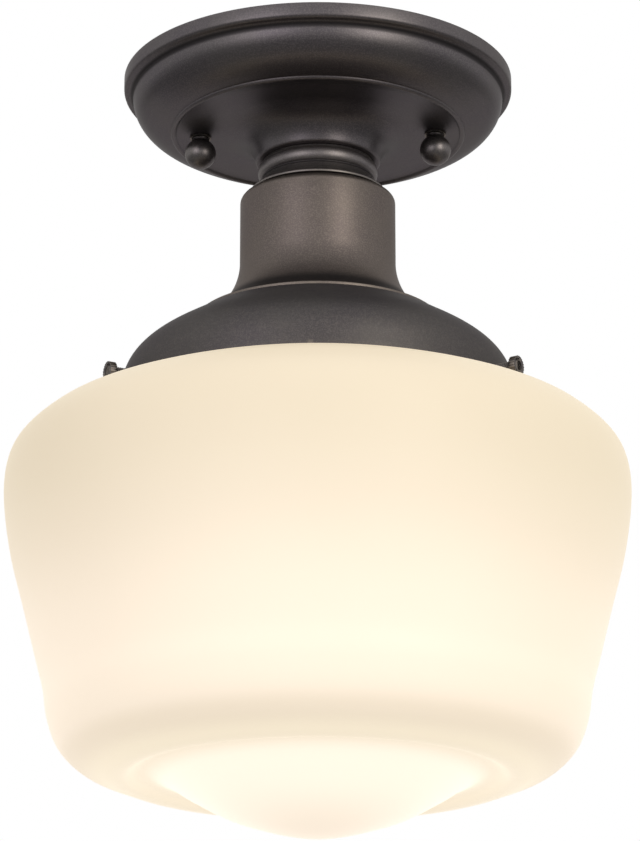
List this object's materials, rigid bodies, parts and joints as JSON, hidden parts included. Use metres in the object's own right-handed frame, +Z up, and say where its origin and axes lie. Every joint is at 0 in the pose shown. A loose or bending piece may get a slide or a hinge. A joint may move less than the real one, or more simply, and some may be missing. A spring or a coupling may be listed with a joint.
{
  "type": "semi flush ceiling light",
  "caption": "Semi flush ceiling light: round spun canopy with ball nuts, short flared stem and domed holder carrying a lit opal glass schoolhouse shade on thumb screws.",
  "frame": {"origin": "centre of the canopy's ceiling face", "axes": "+Z up, out of the ceiling face; X through the two ball nuts; the front that the picture shows faces -Y"},
  "size_m": [0.22, 0.22, 0.2788],
  "materials": {
    "bronze": "satin, finely brushed",
    "zinc_steel": "zinc plated",
    "threaded_steel": "plated thread",
    "green_screw": "green enamel",
    "insulation": "matte fibre",
    "black_lead": "satin",
    "white_lead": "satin",
    "bare_copper": "drawn",
    "connector_plastic": "matte",
    "opal_glass": "opal, glossy outside",
    "porcelain": "glazed",
    "brass": "satin",
    "frosted_glass": "frosted",
    "cap_aluminium": "satin",
    "insulator": "gloss",
    "solder": "dull"
  },
  "bodies": {
    "fixture": {"canopy": "bronze", "canopy_pad": "insulation", "crossbar": "zinc_steel", "mounting_screws": "zinc_steel", "ground_screw": "green_screw", "ground_wire": "bare_copper", "live_lead": "black_lead", "neutral_lead": "white_lead", "wire_connectors": "connector_plastic", "hub_washer": "zinc_steel", "hub_nut": "zinc_steel", "nipple": "threaded_steel", "collar": "bronze", "sleeve": "bronze", "shade_holder": "bronze", "holder_bosses": "bronze", "holder_washer": "zinc_steel", "holder_nut": "zinc_steel", "socket_cap": "zinc_steel", "socket_body": "porcelain", "socket_screws": "zinc_steel", "terminal_screws": "brass", "screw_shell": "brass", "centre_contact": "brass"},
    "shade": {"shade": "opal_glass"},
    "screw_travel_1": {"screw_shank_1": "bronze"},
    "screw_turn_1": {"screw_head_1": "bronze"},
    "screw_travel_2": {"screw_shank_2": "bronze"},
    "screw_turn_2": {"screw_head_2": "bronze"},
    "screw_travel_3": {"screw_shank_3": "bronze"},
    "screw_turn_3": {"screw_head_3": "bronze"},
    "nut_travel_left": {"nut_washer_left": "bronze"},
    "nut_turn_left": {"ball_nut_left": "bronze"},
    "nut_travel_right": {"nut_washer_right": "bronze"},
    "nut_turn_right": {"ball_nut_right": "bronze"},
    "bulb_travel": {"bulb_contact": "solder"},
    "bulb_turn": {"bulb_insulator": "insulator", "bulb_cap": "cap_aluminium", "bulb_globe": "frosted_glass"}
  },
  "joints": [
    {"name": "shade_drop", "type": "slide", "parent": "fixture", "child": "shade", "axis": [0, 0, -1], "range_m": [0, 0.135]},
    {"name": "screw_travel_1", "type": "slide", "parent": "fixture", "child": "screw_travel_1", "axis": [0, 1, 0], "range_m": [-0.0029, 0.006]},
    {"name": "screw_turn_1", "type": "hinge", "parent": "screw_travel_1", "child": "screw_turn_1", "pos_m": [0, 0.0816, -0.1239], "axis": [0, 1, 0], "range_deg": [-1317, 2723]},
    {"name": "screw_travel_2", "type": "slide", "parent": "fixture", "child": "screw_travel_2", "axis": [-0.866, -0.5, 0], "range_m": [-0.0029, 0.006]},
    {"name": "screw_turn_2", "type": "hinge", "parent": "screw_travel_2", "child": "screw_turn_2", "pos_m": [-0.07067, -0.0408, -0.1239], "axis": [-0.866, -0.5, 0], "range_deg": [-1317, 2723]},
    {"name": "screw_travel_3", "type": "slide", "parent": "fixture", "child": "screw_travel_3", "axis": [0.866, -0.5, 0], "range_m": [-0.0029, 0.006]},
    {"name": "screw_turn_3", "type": "hinge", "parent": "screw_travel_3", "child": "screw_turn_3", "pos_m": [0.07067, -0.0408, -0.1239], "axis": [0.866, -0.5, 0], "range_deg": [-1317, 2723]},
    {"name": "nut_travel_left", "type": "slide", "parent": "fixture", "child": "nut_travel_left", "axis": [0, 0, -1], "range_m": [0, 0.012]},
    {"name": "nut_turn_left", "type": "hinge", "parent": "nut_travel_left", "child": "nut_turn_left", "pos_m": [-0.0427, 0, -0.027], "axis": [0, 0, -1], "range_deg": [0, 5444]},
    {"name": "nut_travel_right", "type": "slide", "parent": "fixture", "child": "nut_travel_right", "axis": [0, 0, -1], "range_m": [0, 0.012]},
    {"name": "nut_turn_right", "type": "hinge", "parent": "nut_travel_right", "child": "nut_turn_right", "pos_m": [0.0427, 0, -0.027], "axis": [0, 0, -1], "range_deg": [0, 5444]},
    {"name": "bulb_travel", "type": "slide", "parent": "fixture", "child": "bulb_travel", "axis": [0, 0, -1], "range_m": [0, 0.028]},
    {"name": "bulb_turn", "type": "hinge", "parent": "bulb_travel", "child": "bulb_turn", "pos_m": [0, 0, -0.14], "axis": [0, 0, -1], "range_deg": [0, 2778]}
  ],
  "couplings": [
    {"joint": "screw_turn_1", "follows": "screw_travel_1", "rad_per_m": 7915.8},
    {"joint": "screw_turn_2", "follows": "screw_travel_2", "rad_per_m": 7915.8},
    {"joint": "screw_turn_3", "follows": "screw_travel_3", "rad_per_m": 7915.8},
    {"joint": "nut_turn_left", "follows": "nut_travel_left", "rad_per_m": 7915.8},
    {"joint": "nut_turn_right", "follows": "nut_travel_right", "rad_per_m": 7915.8},
    {"joint": "bulb_turn", "follows": "bulb_travel", "rad_per_m": 1730.9}
  ]
}
